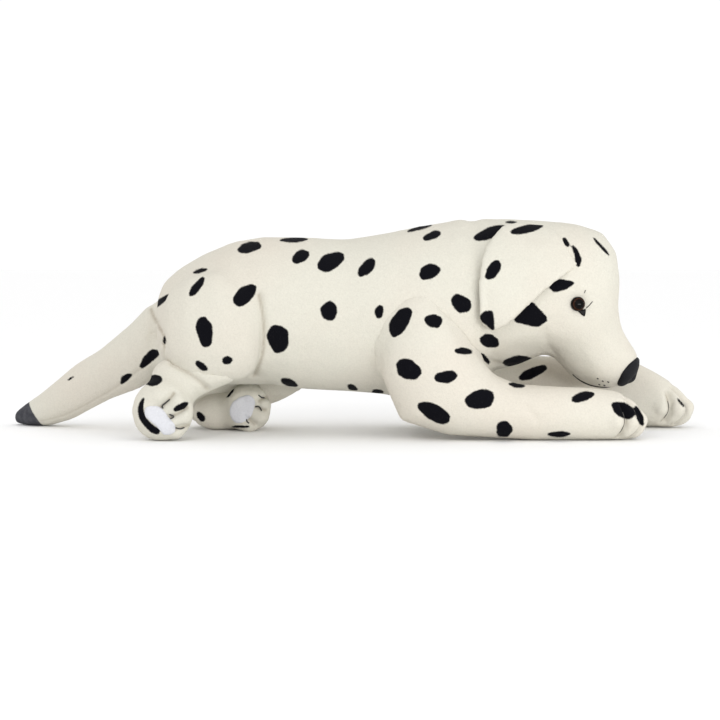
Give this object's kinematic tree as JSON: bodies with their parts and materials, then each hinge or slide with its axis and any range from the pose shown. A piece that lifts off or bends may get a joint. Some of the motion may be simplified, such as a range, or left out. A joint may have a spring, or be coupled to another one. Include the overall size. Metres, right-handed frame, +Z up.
{
  "type": "plush dog",
  "caption": "Large stuffed toy dog lying down with its head bowed over its forelegs, sewn from spotted plush, with flap ears and a long tail.",
  "frame": {"origin": "centre of the dog's footprint, on the surface it lies on", "axes": "+X is the dog's forward, along its length; +Y is its left side; +Z is up"},
  "size_m": [0.839, 0.24, 0.257],
  "materials": {
    "spotted_plush": "short pile, ivory with black spots",
    "plain_plush": "short pile, plain cream",
    "ear_lining": "short pile, plain cream",
    "dark_plush": "short pile, charcoal",
    "sole_pad": "brushed pile, cool white",
    "stuffing": "polyester fibre filling",
    "eye": "polished",
    "eye_corner": "smooth black",
    "nose": "flocked",
    "washer": "moulded",
    "black_thread": "embroidery thread",
    "grey_thread": "embroidery thread"
  },
  "bodies": {
    "torso": {"torso_right_panel": "spotted_plush", "torso_left_panel": "spotted_plush", "belly_panel": "plain_plush", "torso_stuffing": "stuffing", "right_thigh_panel": "spotted_plush", "right_shank_panel": "spotted_plush", "right_foot_panel": "spotted_plush", "right_foot_sole": "sole_pad", "right_foot_toe_stitches": "grey_thread", "right_hind_stuffing": "stuffing", "left_thigh_panel": "spotted_plush", "left_shank_panel": "spotted_plush", "left_foot_panel": "spotted_plush", "left_foot_sole": "sole_pad", "left_foot_toe_stitches": "grey_thread", "left_hind_stuffing": "stuffing"},
    "head": {"head_right_panel": "spotted_plush", "head_left_panel": "spotted_plush", "head_top_panel": "spotted_plush", "chin_panel": "spotted_plush", "head_stuffing": "stuffing", "nose": "nose", "nose_washer": "washer", "right_eye": "eye", "left_eye": "eye", "right_eye_washer": "washer", "left_eye_washer": "washer", "right_eye_corner": "eye_corner", "left_eye_corner": "eye_corner", "mouth_stitch": "black_thread", "whisker_stitches": "black_thread"},
    "right_ear": {"right_ear_outer": "spotted_plush", "right_ear_lining": "ear_lining"},
    "left_ear": {"left_ear_outer": "spotted_plush", "left_ear_lining": "ear_lining"},
    "tail": {"tail_upper_panel": "spotted_plush", "tail_under_panel": "plain_plush", "tail_tip_panel": "dark_plush", "tail_stuffing": "stuffing"},
    "right_foreleg": {"right_foreleg_outer": "spotted_plush", "right_foreleg_inner": "spotted_plush", "right_foreleg_stuffing": "stuffing", "right_foreleg_toe_stitches": "grey_thread"},
    "left_foreleg": {"left_foreleg_outer": "spotted_plush", "left_foreleg_inner": "spotted_plush", "left_foreleg_stuffing": "stuffing", "left_foreleg_toe_stitches": "grey_thread"}
  },
  "joints": [
    {"name": "head_nod", "type": "hinge", "parent": "torso", "child": "head", "pos_m": [0.15, 0.003, 0.222], "axis": [0, -1, 0], "range_deg": [0, 15]},
    {"name": "right_ear_lift", "type": "hinge", "parent": "head", "child": "right_ear", "pos_m": [0.252, -0.057, 0.2225], "axis": [-0.52, 0.39, 0.76], "range_deg": [0, 80]},
    {"name": "left_ear_lift", "type": "hinge", "parent": "head", "child": "left_ear", "pos_m": [0.252, 0.055, 0.2225], "axis": [0.52, 0.39, -0.76], "range_deg": [0, 80]},
    {"name": "tail_lift", "type": "hinge", "parent": "torso", "child": "tail", "pos_m": [-0.236, 0.016, 0.162], "axis": [0.456, 0.89, 0], "range_deg": [0, 45]},
    {"name": "right_foreleg_swing", "type": "hinge", "parent": "torso", "child": "right_foreleg", "pos_m": [0.034, -0.088, 0.1], "axis": [0, 0, -1], "range_deg": [0, 15]},
    {"name": "left_foreleg_swing", "type": "hinge", "parent": "torso", "child": "left_foreleg", "pos_m": [0.044, 0.096, 0.1], "axis": [0, 0, 1], "range_deg": [0, 15]}
  ]
}
